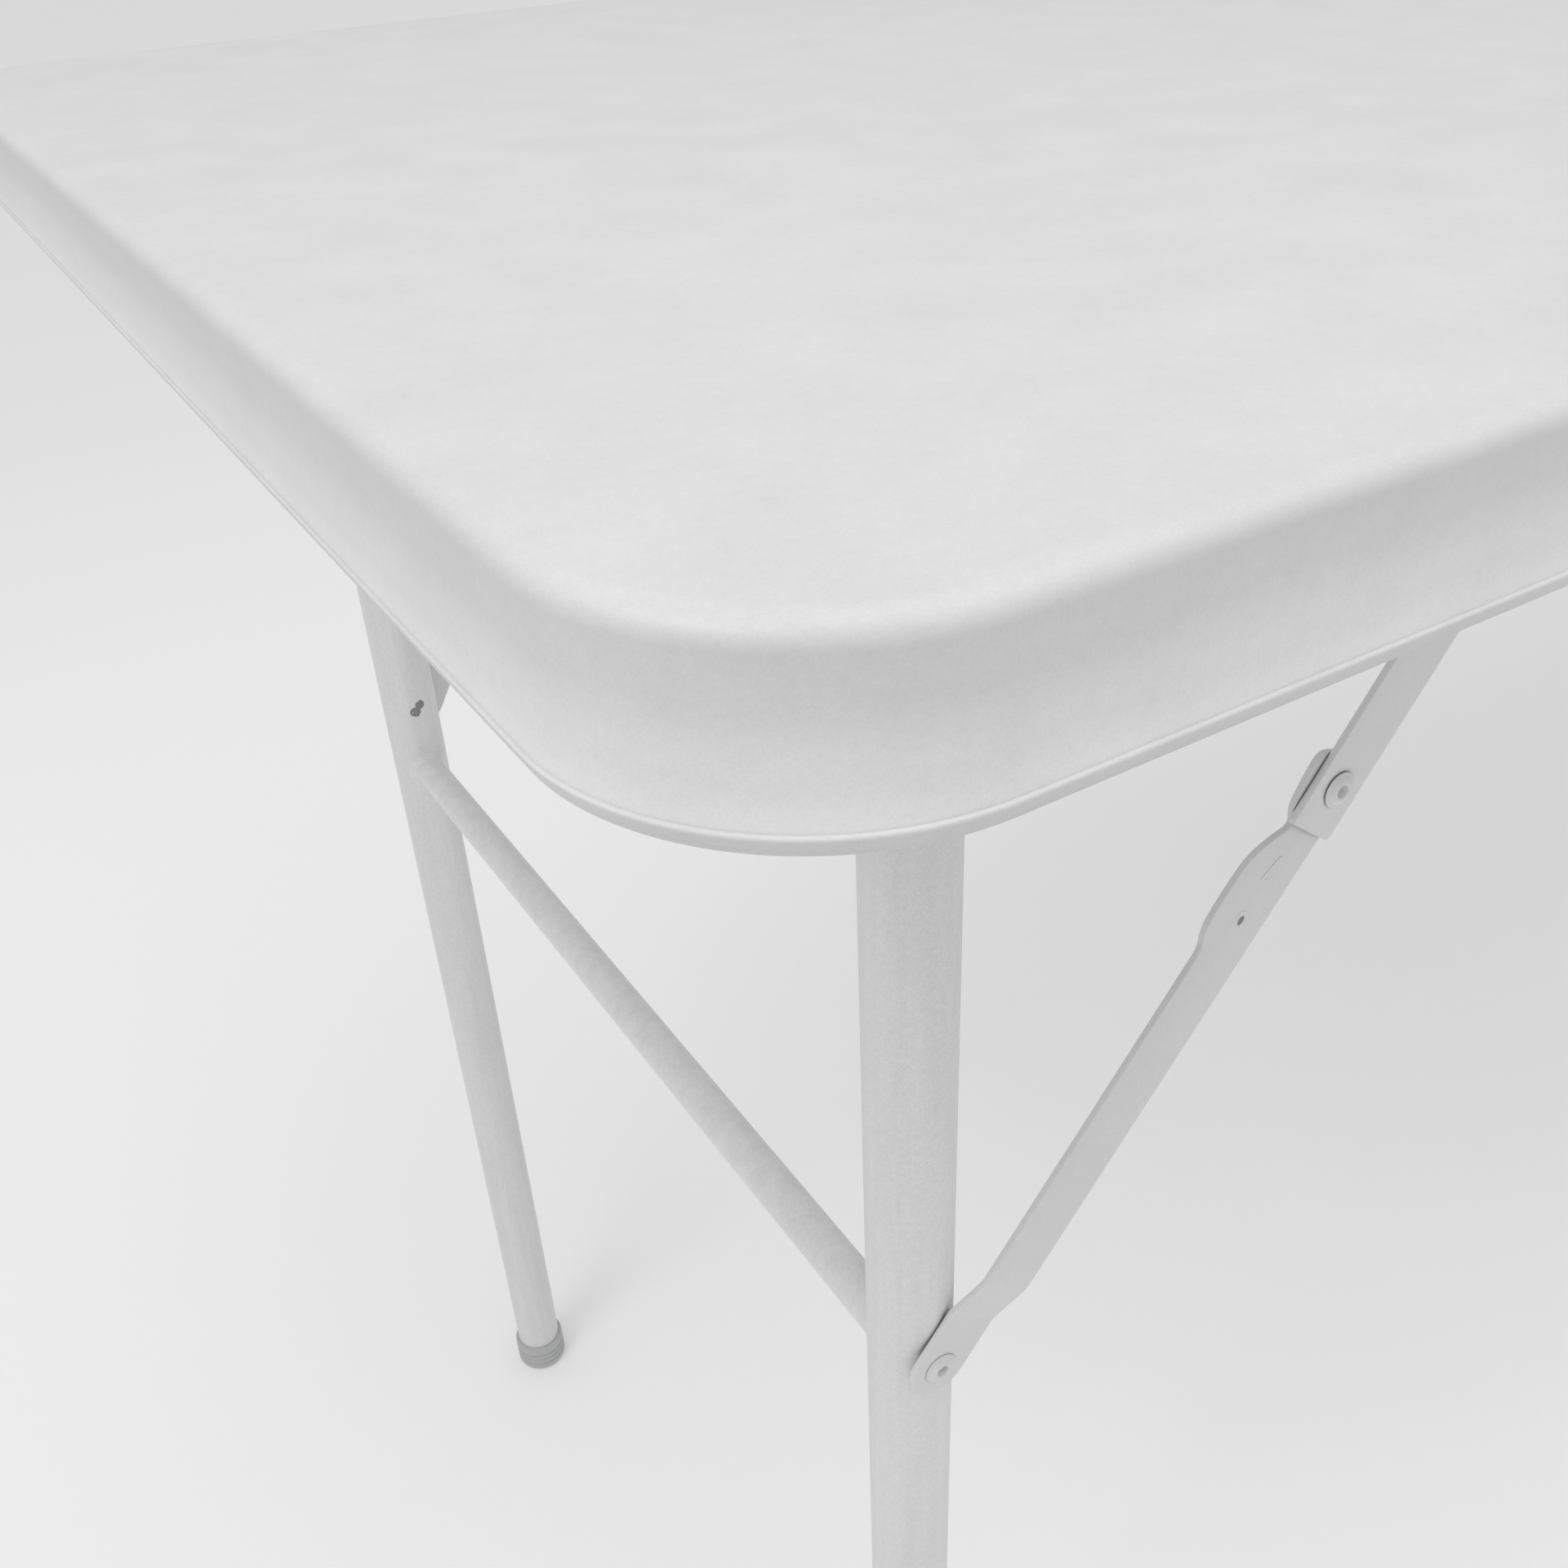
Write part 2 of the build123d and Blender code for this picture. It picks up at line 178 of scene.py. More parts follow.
def add_bump(
    tree: bpy.types.NodeTree,
    height: bpy.types.NodeSocket,
    depth_mm: float,
    strength: float,
    under: bpy.types.NodeSocket | None = None,
) -> bpy.types.NodeSocket:
    """Add relief of a real depth.

    Args:
        tree: The material's nodes.
        height: The relief's pattern.
        depth_mm: How deep the pattern goes.
        strength: How much of it shows.
        under: The normal of a relief below it.

    Returns:
        The bumped normal.
    """
    inputs = {"Strength": strength, "Distance": depth_mm * MM, "Height": height}
    if under is not None:
        inputs["Normal"] = under
    return add_node(tree, "ShaderNodeBump", inputs=inputs).outputs["Normal"]


def start_material(name: str) -> tuple[bpy.types.Material, bpy.types.NodeSocket]:
    """Start a node material.

    Args:
        name: The real finish it stands for.

    Returns:
        The material with an empty tree, and the Object coordinates in it.
    """
    material = bpy.data.materials.new(name)
    material.use_nodes = True
    material.node_tree.nodes.clear()
    coordinates = add_node(material.node_tree, "ShaderNodeTexCoord")
    return material, coordinates.outputs["Object"]


def end_material(tree: bpy.types.NodeTree, inputs: dict[str, object]) -> None:
    """Close a tree with its surface shader and its output."""
    shader = add_node(tree, "ShaderNodeBsdfPrincipled", inputs=inputs)
    add_node(tree, "ShaderNodeOutputMaterial", inputs={"Surface": shader.outputs[0]})


def dress(piece: bpy.types.Object, material: bpy.types.Material) -> None:
    """Put one material on every slot of a piece.

    Args:
        piece: The piece.
        material: The material it gets.
    """
    if not piece.data.materials:
        piece.data.materials.append(material)
    for index in range(len(piece.data.materials)):
        piece.material_slots[index].material = material


def finish_mesh(
    bm: bmesh.types.BMesh,
    name: str,
    material: bpy.types.Material,
    place: Matrix | None = None,
    sharp_degrees: float = 34.0,
) -> bpy.types.Object:
    """Turn a bmesh into a smooth shaded piece with outward faces.

    Args:
        bm: The finished shape, which is freed.
        name: The name of the new piece.
        material: Its finish.
        place: A transform that carries the shape to its place in metres.
        sharp_degrees: Edges that turn more than this stay crisp.

    Returns:
        The new object, at the origin, with its place in its mesh.
    """
    bmesh.ops.remove_doubles(bm, verts=bm.verts, dist=1e-4)
    if place is not None:
        bmesh.ops.transform(bm, matrix=place, verts=bm.verts)
    bmesh.ops.recalc_face_normals(bm, faces=bm.faces)
    for face in bm.faces:
        face.smooth = True
    mesh = bpy.data.meshes.new(name)
    bm.to_mesh(mesh)
    bm.free()
    mesh.set_sharp_from_angle(angle=math.radians(sharp_degrees))
    piece = bpy.data.objects.new(name, mesh)
    bpy.context.scene.collection.objects.link(piece)
    dress(piece, material)
    return piece


def bevel_edges(
    bm: bmesh.types.BMesh, edges: list[bmesh.types.BMEdge], offset: float, segments: int
) -> None:
    """Round a set of edges.

    Args:
        bm: The mesh, in millimetres.
        edges: The edges to round.
        offset: How far the rounding reaches from each edge.
        segments: Steps in the rounding.
    """
    bmesh.ops.bevel(
        bm,
        geom=edges,
        offset=offset,
        offset_type="OFFSET",
        segments=segments,
        profile=0.5,
        affect="EDGES",
        material=-1,
        clamp_overlap=True,
    )


def outline_plate(
    points: list[tuple[float, float]],
    z_from: float,
    z_to: float,
    corner: float,
    corner_steps: int = 5,
) -> bmesh.types.BMesh:
    """A flat plate with rounded plan corners.

    Args:
        points: The outline's corners, in millimetres.
        z_from: The lower face.
        z_to: The upper face.
        corner: The radius of the plan corners.
        corner_steps: Segments in each rounded corner.

    Returns:
        The plate in millimetres.
    """
    bm = bmesh.new()
    bm.faces.new([bm.verts.new((x, y, z_from)) for x, y in points])
    bmesh.ops.bevel(
        bm,
        geom=list(bm.verts),
        offset=corner,
        offset_type="OFFSET",
        segments=corner_steps,
        profile=0.5,
        affect="VERTICES",
        material=-1,
        clamp_overlap=True,
    )
    faces = list(bm.faces)
    raised = bmesh.ops.extrude_face_region(bm, geom=faces)["geom"]
    verts = [v for v in raised if isinstance(v, bmesh.types.BMVert)]
    bmesh.ops.translate(bm, vec=(0, 0, z_to - z_from), verts=verts)
    return bm


def level_edges(bm: bmesh.types.BMesh, z: float) -> list[bmesh.types.BMEdge]:
    """Edges that lie at one height where an upright face meets a level one.

    Args:
        bm: The mesh, in millimetres.
        z: The height.

    Returns:
        The edges.
    """
    return [
        edge
        for edge in bm.edges
        if all(abs(v.co.z - z) < 1e-3 for v in edge.verts) and edge.calc_face_angle(0.0) > 0.6
    ]


def soften(points: list[tuple[float, float]], passes: int = 2) -> list[tuple[float, float]]:
    """Cut the corners of an open outline to make it flow.

    Args:
        points: The outline, whose two ends stay put.
        passes: How many times the corners are cut.

    Returns:
        The softer outline.
    """
    for _ in range(passes):
        cut = [points[0]]
        for (x0, y0), (x1, y1) in zip(points, points[1:]):
            cut.append((0.75 * x0 + 0.25 * x1, 0.75 * y0 + 0.25 * y1))
            cut.append((0.25 * x0 + 0.75 * x1, 0.25 * y0 + 0.75 * y1))
        points = cut + [points[-1]]
    return points


def spun(profile: list[tuple[float, float]], steps: int = 48) -> bmesh.types.BMesh:
    """A turned shape from a radius and height profile about Z.

    Args:
        profile: Radius and height of each point, from the axis outward.
        steps: Segments round the axis.

    Returns:
        The turned shape, in the profile's units.
    """
    bm = bmesh.new()
    verts = [bm.verts.new((radius, 0, z)) for radius, z in profile]
    edges = [bm.edges.new(pair) for pair in zip(verts, verts[1:])]
    bmesh.ops.spin(
        bm,
        geom=verts + edges,
        cent=(0, 0, 0),
        axis=(0, 0, 1),
        dvec=(0, 0, 0),
        angle=math.tau,
        steps=steps,
        use_merge=True,
    )
    bmesh.ops.remove_doubles(bm, verts=bm.verts, dist=1e-4)
    return bm


def join_into(target: bmesh.types.BMesh, other: bmesh.types.BMesh) -> None:
    """Copy one bmesh into another and free it.

    Args:
        target: The mesh that grows.
        other: The mesh that is copied and freed.
    """
    mesh = bpy.data.meshes.new("joined")
    other.to_mesh(mesh)
    other.free()
    target.from_mesh(mesh)
    bpy.data.meshes.remove(mesh)


# ---- finishes ------------------------------------------------------------------
@dataclass(frozen=True)
class PowderCoat:
    """Baked polyester powder on steel, a satin skin with a fine orange peel.

    It gives the eye an even soft white from afar. Close up it breaks into mottle and a dusty
    grain. Its colour also carries painted shade in pits and gaps, and painted shade and
    highlight along a skirt: darker under a bend and on a hem, brighter at the ridge.
    """

    name: str
    colour: str
    shade: str
    roughness: float = 0.42
    roughness_spread: tuple[float, float] = (-0.03, 0.04)
    grain_mm: float = 0.45
    grain_height_mm: float = 0.012
    peel_mm: float = 2.2
    peel_height_mm: float = 0.05
    cloud_mm: float = 26.0
    stretch: float = 1.0
    # Painted shade in pits and gaps: how far it reaches and how dark it gets.
    crease_shade_reach_mm: float = 2.0
    crease_shade: float = 0.5
    # Painted shade and highlight by height in millimetres: darker under the bend and on the hem,
    # brighter at the ridge.
    skirt_shading_mm: tuple[float, float] | None = None
    skirt_shading_stops: tuple[tuple[float, float], ...] = (
        (0.0, 0.86),
        (0.035, 1.12),
        (0.3, 1.03),
        (0.68, 0.9),
        (0.84, 0.88),
        (0.975, 1.0),
    )

    def _mottle(
        self,
        tree: bpy.types.NodeTree,
        grain: bpy.types.NodeSocket,
        peel: bpy.types.NodeSocket,
        cloud: bpy.types.NodeSocket,
    ) -> bpy.types.NodeSocket:
        """Mix the two shades of the coat.

        Args:
            tree: The material's nodes.
            grain: The finest pattern.
            peel: The orange peel.
            cloud: The broadest pattern.

        Returns:
            The mottled colour.
        """
        add = {"operation": "MULTIPLY_ADD"}
        soft = add_node(tree, "ShaderNodeMath", add, {0: peel, 1: 0.5, 2: cloud})
        dusty = add_node(tree, "ShaderNodeMath", add, {0: grain, 1: 0.9, 2: soft.outputs[0]})
        factor = add_range(tree, dusty.outputs[0], (0.8, 1.6))
        inputs = {"Factor": factor, 6: linear(self.shade), 7: linear(self.colour)}
        return add_node(tree, "ShaderNodeMix", {"data_type": "RGBA"}, inputs).outputs[2]

    def _paint_skirt_shading(
        self, tree: bpy.types.NodeTree, where: bpy.types.NodeSocket, colour: bpy.types.NodeSocket
    ) -> bpy.types.NodeSocket:
        """Paint shade under a bend and on a hem, and a highlight by the ridge, into the coat's
        colour.

        Args:
            tree: The material's nodes.
            where: Object coordinates.
            colour: The even colour of the coat.

        Returns:
            The colour with the painted shade and highlight.
        """
        if self.skirt_shading_mm is None:
            return colour
        low, high = self.skirt_shading_mm
        split = add_node(tree, "ShaderNodeSeparateXYZ", inputs={"Vector": where})
        height = add_range(tree, split.outputs["Z"], (low * MM, high * MM))
        ramp = add_node(tree, "ShaderNodeValToRGB", inputs={"Fac": height})
        ramp.color_ramp.interpolation = "EASE"
        stops = ramp.color_ramp.elements
        stops[0].position, stops[1].position = self.skirt_shading_stops[0][0], self.skirt_shading_stops[-1][0]
        for position, _ in self.skirt_shading_stops[1:-1]:
            stops.new(position)
        for stop, (_, value) in zip(stops, self.skirt_shading_stops):
            stop.color = (value, value, value, 1.0)
        mix = {"data_type": "RGBA", "blend_type": "MULTIPLY"}
        inputs = {"Factor": 1.0, 6: colour, 7: ramp.outputs["Color"]}
        return add_node(tree, "ShaderNodeMix", mix, inputs).outputs[2]

    def _paint_crease_shade(
        self, tree: bpy.types.NodeTree, colour: bpy.types.NodeSocket
    ) -> bpy.types.NodeSocket:
        """Darken pits and tight gaps with painted shade.

        Args:
            tree: The material's nodes.
            colour: The colour of the open surface.

        Returns:
            The colour with painted shade in its creases.
        """
        reach = {"Distance": self.crease_shade_reach_mm * MM}
        crease = add_node(tree, "ShaderNodeAmbientOcclusion", {"samples": 6}, reach)
        shade_factor = add_range(tree, crease.outputs["AO"], (0.25, 0.8), (self.crease_shade, 1.0))
        scale = {0: colour, "Scale": shade_factor}
        return add_node(tree, "ShaderNodeVectorMath", {"operation": "SCALE"}, scale).outputs[0]

    def make(self) -> bpy.types.Material:
        """Build the node material.

        Returns:
            The finished material.
        """
        material, where = start_material(self.name)
        tree = material.node_tree
        # Drawn tube shows its clouds as long streaks.
        along = {"Vector": where, "Scale": (1.0, 1.0, 1.0 / self.stretch)}
        drawn = add_node(tree, "ShaderNodeMapping", inputs=along).outputs[0]
        # The grain is the dusty sparkle of the cured powder seen close up.
        grain = add_noise(tree, where, self.grain_mm, 1.5)
        # The peel is the soft mottle that the light picks out on flat sheet.
        peel = add_noise(tree, where, self.peel_mm, 2.5, 0.55)
        # Broad clouds come from uneven spraying and handling.
        cloud = add_noise(tree, drawn, self.cloud_mm, 4.0, 0.6)
        colour = self._paint_skirt_shading(tree, where, self._mottle(tree, grain, peel, cloud))
        gloss = tuple(self.roughness + spread for spread in self.roughness_spread)
        fine = add_bump(tree, grain, self.grain_height_mm, 0.7)
        surface = {
            "Base Color": self._paint_crease_shade(tree, colour),
            "Roughness": add_range(tree, cloud, (0.3, 0.7), gloss),
            "IOR": 1.5,
            "Normal": add_bump(tree, peel, self.peel_height_mm, 0.8, fine),
        }
        end_material(tree, surface)
        return material


@dataclass(frozen=True)
class ZincPlate:
    """Bright zinc plate on a steel fastener: gives the eye pale metal with a dull grain."""

    name: str = "bright_zinc_plate"
    colour: str = "#C9CCCF"
    roughness: float = 0.34
    roughness_spread: tuple[float, float] = (-0.08, 0.1)
    grain_mm: float = 0.6
    grain_height_mm: float = 0.02

    def make(self) -> bpy.types.Material:
        """Build the node material.

        Returns:
            The finished material.
        """
        material, where = start_material(self.name)
        tree = material.node_tree
        grain = add_noise(tree, where, self.grain_mm, 3.0)
        gloss = tuple(self.roughness + spread for spread in self.roughness_spread)
        surface = {
            "Base Color": linear(self.colour),
            "Metallic": 1.0,
            "Roughness": add_range(tree, grain, (0.0, 1.0), gloss),
            "Normal": add_bump(tree, grain, self.grain_height_mm, 0.4),
        }
        end_material(tree, surface)
        return material


@dataclass(frozen=True)
class DullGrain:
    """A dull surface with a faint texture: moulded plastic, or a dark grey of painted shadow in a
    small hole.
    """

    name: str
    colour: str
    roughness: float
    grain_mm: float
    grain_height_mm: float = 0.03

    def make(self) -> bpy.types.Material:
        """Build the node material.

        Returns:
            The finished material.
        """
        material, where = start_material(self.name)
        tree = material.node_tree
        grain = add_noise(tree, where, self.grain_mm, 2.0)
        surface = {
            "Base Color": linear(self.colour),
            "Roughness": self.roughness,
            "IOR": 1.51,
            "Normal": add_bump(tree, grain, self.grain_height_mm, 0.5),
        }
        end_material(tree, surface)
        return material


# ---- tray top ------------------------------------------------------------------
@dataclass
class TrayTop:
    """The pressed sheet top: soft bend, coved skirt, crisp ridge and rolled hem."""

    finish: bpy.types.Material
    corner_radius: float = 48.0
    bend_in: float = 4.8
    bend_down: float = 4.3
    ridge_proud: float = 0.55
    cove: float = 0.95
    hem_height: float = 3.4
    hem_inset: float = 1.7
    hem_width: float = 4.6
    skirt_drop: float = 29.1
    sheet: float = 1.5
    corner_steps: int = 28
    bend_steps: int = 12
    inner_bend_steps: int = 5
    sharp_degrees: float = 32.0

    def _upward(self, top: float) -> list[tuple[float, float]]:
        """Inset and height of each loop from the ridge to the crown.

        Args:
            top: Height of the crown, in millimetres.

        Returns:
            The loops, outermost first.
        """
        ridge = top - self.skirt_drop
        lip, cove = self.ridge_proud, self.cove
        loops = [(0.02, ridge + 0.22), (0.1, ridge + 0.34), (lip, ridge + 0.46)]
        shape = ((0.1, 1.3), (0.3, 4.0), (0.55, 8.0), (0.8, 13.0), (0.95, 18.0))
        loops += [(lip + cove * k, ridge + h) for k, h in shape]
        start = lip + cove
        for step in range(self.bend_steps + 1):
            turn = step / self.bend_steps * math.pi / 2
            inset = start + self.bend_in * (1 - math.cos(turn)) + 0.001 * step
            loops.append((inset, top - self.bend_down * (1 - math.sin(turn))))
        return loops + [(start + self.bend_in + 3, top)]

    def _downward(self, top: float) -> list[tuple[float, float]]:
        """Inset and height of each loop from the ridge round the rolled hem.

        Args:
            top: Height of the crown, in millimetres.

        Returns:
            The loops, outermost first.
        """
        ridge, deep = top - self.skirt_drop, self.hem_height
        inset, width = self.hem_inset, self.hem_width
        loops = [(0.08, ridge - 0.3), (inset * 0.42, ridge - deep * 0.6)]
        loops += [(inset * 0.56, ridge - deep * 0.64), (inset * 0.62, ridge - deep * 0.7)]
        loops += [(inset * 0.74, ridge - deep * 0.93), (inset * 0.9, ridge - deep)]
        loops += [(width - 0.7, ridge - deep), (width - 0.15, ridge - deep + 0.4)]
        return loops + [(width, ridge - deep + 1.3)]

    @staticmethod
    def _follow(
        bm: bmesh.types.BMesh, face: bmesh.types.BMFace, loops: list[tuple[float, float]]
    ) -> None:
        """Step a face through a list of insets and heights.

        Args:
            bm: The mesh, in millimetres.
            face: The face, which shrinks with each step.
            loops: Inset and height of each step.
        """
        reached = 0.0
        for inset, height in loops:
            step = inset - reached
            bmesh.ops.inset_region(bm, faces=[face], thickness=step, use_even_offset=True)
            for vert in face.verts:
                vert.co.z = height
            reached = inset

    def _shape(self, half_x: float, half_y: float, top: float) -> bmesh.types.BMesh:
        """The whole pressing, in millimetres.

        Args:
            half_x: Half of the size along X.
            half_y: Half of the size along Y.
            top: The height of the upper face.

        Returns:
            The closed shell of the tray.
        """
        ridge = top - self.skirt_drop
        signs = [(1, 1), (-1, 1), (-1, -1), (1, -1)]
        bm = outline_plate(
            [(half_x * a, half_y * b) for a, b in signs],
            ridge - 0.15,
            ridge + 0.15,
            self.corner_radius,
            self.corner_steps,
        )
        upper = max(bm.faces, key=lambda f: f.calc_center_median().z)
        lower = min(bm.faces, key=lambda f: f.calc_center_median().z)
        self._follow(bm, upper, self._upward(top))
        self._follow(bm, lower, self._downward(top))
        bmesh.ops.delete(bm, geom=[lower], context="FACES_ONLY")
        wall = self.ridge_proud + self.cove + self.sheet
        inner = outline_plate(
            [((half_x - wall) * a, (half_y - wall) * b) for a, b in signs],
            ridge + self.sheet,
            top - self.sheet,
            self.corner_radius - wall,
            self.corner_steps,
        )
        crown = level_edges(inner, top - self.sheet)
        bevel_edges(inner, crown, self.bend_down - self.sheet, self.inner_bend_steps)
        mouth = min(inner.faces, key=lambda f: f.calc_center_median().z)
        bmesh.ops.delete(inner, geom=[mouth], context="FACES_ONLY")
        join_into(bm, inner)
        rims = [edge for edge in bm.edges if edge.is_boundary]
        bmesh.ops.bridge_loops(bm, edges=rims)
        return bm

    def build(self) -> None:
        """Build the tray in place of its plain node."""
        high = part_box("table_top")[1]
        bm = self._shape(high[0] / MM, high[1] / MM, high[2] / MM)
        scale = Matrix.Scale(MM, 4)
        piece = finish_mesh(bm, "tray_top", self.finish, scale, self.sharp_degrees)
        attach(piece, "top")
        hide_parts("table_top")
        LOG.info("tray top: %d faces, %.0f mm long", len(piece.data.polygons), 2 * high[0] / MM)


# ---- leg frames ----------------------------------------------------------------
@dataclass
class LegFrame:
    """One folding end frame: two tubes, the crossbar with its welds, and the feet."""

    end: End
    tube_finish: bpy.types.Material
    foot_finish: bpy.types.Material
    vent_shadow_finish: bpy.types.Material
    weld_reach: float = 4.2
    weld_steps: int = 48
    weld_rings: int = 6
    weld_sunk: float = 0.3
    weld_seat: float = 0.15
    weld_ripple: float = 0.12
    soft_degrees: float = 60.0
    vent_above_bar: float = 34.0
    vent_spots: tuple[tuple[float, float, float], ...] = ((-1.3, -1.5, 2.5), (1.3, 1.6, 2.2))
    vent_sheet: float = 0.15
    vent_proud: float = 0.06
    foot_ribs: int = 3
    rib_start: float = 5.0
    rib_pitch: float = 3.8
    rib_depth: float = 0.7
    foot_wall: float = 2.1
    foot_sole: float = 4.0
    foot_steps: int = 56

    @property
    def body(self) -> str:
        """The name of the body that this frame is."""
        return f"leg_frame_{self.end.name.lower()}"

    def _joint(self, side: Side) -> tuple[Vector, float, float]:
        """Where the crossbar's axis meets the axis of one tube.

        Args:
            side: The side that the tube is on.

        Returns:
            The meeting point in metres, and the radius of the bar and of the tube in
            millimetres.
        """
        low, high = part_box(f"crossbar_{self.end.name.lower()}")
        tube_low, tube_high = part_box(f"leg_{self.end.name.lower()}_{side.name.lower()}")
        middle = [(tube_low[k] + tube_high[k]) / 2 for k in range(2)]
        centre = Vector((*middle, (low[2] + high[2]) / 2))
        return centre, (high[2] - low[2]) / 2 / MM, (tube_high[0] - tube_low[0]) / 2 / MM

    @staticmethod
    def _inward(centre: Vector, side: Side) -> Matrix:
        """Carry a shape in millimetres to a tube, with its Z towards the other tube."""
        turn_in = Matrix.Rotation(math.pi / 2 * side.value, 4, "X")
        return Matrix.Translation(centre) @ turn_in @ Matrix.Scale(MM, 4)

    def _weld(self, side: Side) -> None:
        """The painted fillet weld where the crossbar meets one tube.

        Args:
            side: The side that the tube is on.
        """
        centre, bar_radius, tube_radius = self._joint(side)
        turns = [ring / self.weld_rings * math.pi / 2 for ring in range(self.weld_rings + 1)]
        profile = [(1 - math.sin(turn), 1 - math.cos(turn)) for turn in turns] + [(0.0, -0.1)]
        bm = bmesh.new()
        loops = []
        for outward, along in profile:
            radius = bar_radius - self.weld_sunk + self.weld_reach * outward
            height = self.weld_reach * along
            made = bmesh.ops.create_circle(bm, segments=self.weld_steps, radius=radius)["verts"]
            for vert in made:
                ripple = math.sin(vert.co.x * 2.1) * math.sin(vert.co.y * 1.7)
                seat = math.sqrt(max(tube_radius**2 - vert.co.x**2, 0.0)) - self.weld_seat
                vert.co.z = seat + height * (1 + self.weld_ripple * ripple)
            loops.append([e for e in bm.edges if all(v in made for v in e.verts)])
        for first, second in zip(loops, loops[1:] + loops[:1]):
            bmesh.ops.bridge_loops(bm, edges=first + second)
        place = self._inward(centre, side)
        name = f"weld_{self.end.name.lower()}_{side.name.lower()}"
        piece = finish_mesh(bm, name, self.tube_finish, place, self.soft_degrees)
        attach(piece, self.body)

    def _vent_marks(self, side: Side) -> None:
        """Two small dark discs on the inner side: painted shadow where the vent holes are.

        Args:
            side: The side that the tube is on.
        """
        centre, _, tube_radius = self._joint(side)
        bm = bmesh.new()
        for along, up, radius in self.vent_spots:
            made = bmesh.ops.create_circle(
                bm, cap_ends=True, cap_tris=False, segments=28, radius=radius
            )["verts"]
            face = next(f for f in bm.faces if all(v in made for v in f.verts))
            bmesh.ops.translate(bm, verts=made, vec=(along, up, 0.0))
            for _ in range(2):
                bmesh.ops.inset_region(bm, faces=[face], thickness=radius * 0.3)
            bmesh.ops.poke(bm, faces=[face])
        for vert in bm.verts:
            vert.co.y *= 1 + 0.07 * math.sin(2 * vert.co.x + vert.co.y)
            vert.co.z += math.sqrt(tube_radius**2 - vert.co.x**2) + self.vent_proud
        bmesh.ops.solidify(bm, geom=list(bm.faces), thickness=self.vent_sheet)
        place = self._inward(centre + Vector((0, 0, self.vent_above_bar * MM)), side)
        name = f"vent_marks_{self.end.name.lower()}_{side.name.lower()}"
        piece = finish_mesh(bm, name, self.vent_shadow_finish, place, self.soft_degrees)
        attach(piece, self.body)

    def _foot(self, side: Side) -> None:
        """The moulded foot: a ribbed sleeve with a soft rounded sole.

        Args:
            side: The side that the foot is on.
        """
        node = f"foot_{self.end.name.lower()}_{side.name.lower()}"
        low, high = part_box(node)
        radius = (high[0] - low[0]) / 2 / MM
        height = high[2] / MM
        profile = [(0.0, 0.0), (radius - 3.5, 0.0), (radius - 1.6, 0.5), (radius - 0.5, 1.4)]
        profile.append((radius, 3.0))
        valley = radius - self.rib_depth
        for rib in range(self.foot_ribs):
            base = self.rib_start + rib * self.rib_pitch
            profile += [(radius, base), (valley, base + 0.5)]
            profile += [(valley, base + 1.3), (radius, base + 1.8)]
        profile += [(radius, height - 1.6), (radius - 0.4, height - 0.6), (radius - 1.2, height)]
        bore = radius - self.foot_wall
        profile += [(bore, height), (bore, self.foot_sole), (0.0, self.foot_sole)]
        bm = spun(profile, self.foot_steps)
        centre = Vector(((low[0] + high[0]) / 2, (low[1] + high[1]) / 2, 0))
        place = Matrix.Translation(centre) @ Matrix.Scale(MM, 4)
        piece = finish_mesh(bm, f"ribbed_{node}", self.foot_finish, place)
        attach(piece, self.body)
        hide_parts(node)

    def build(self) -> None:
        """Add the welds, the vent-hole shadow discs and the feet."""
        for side in Side:
            self._weld(side)
            self._vent_marks(side)
            self._foot(side)
        LOG.info("leg frame %s: welds and feet", self.end.name.lower())


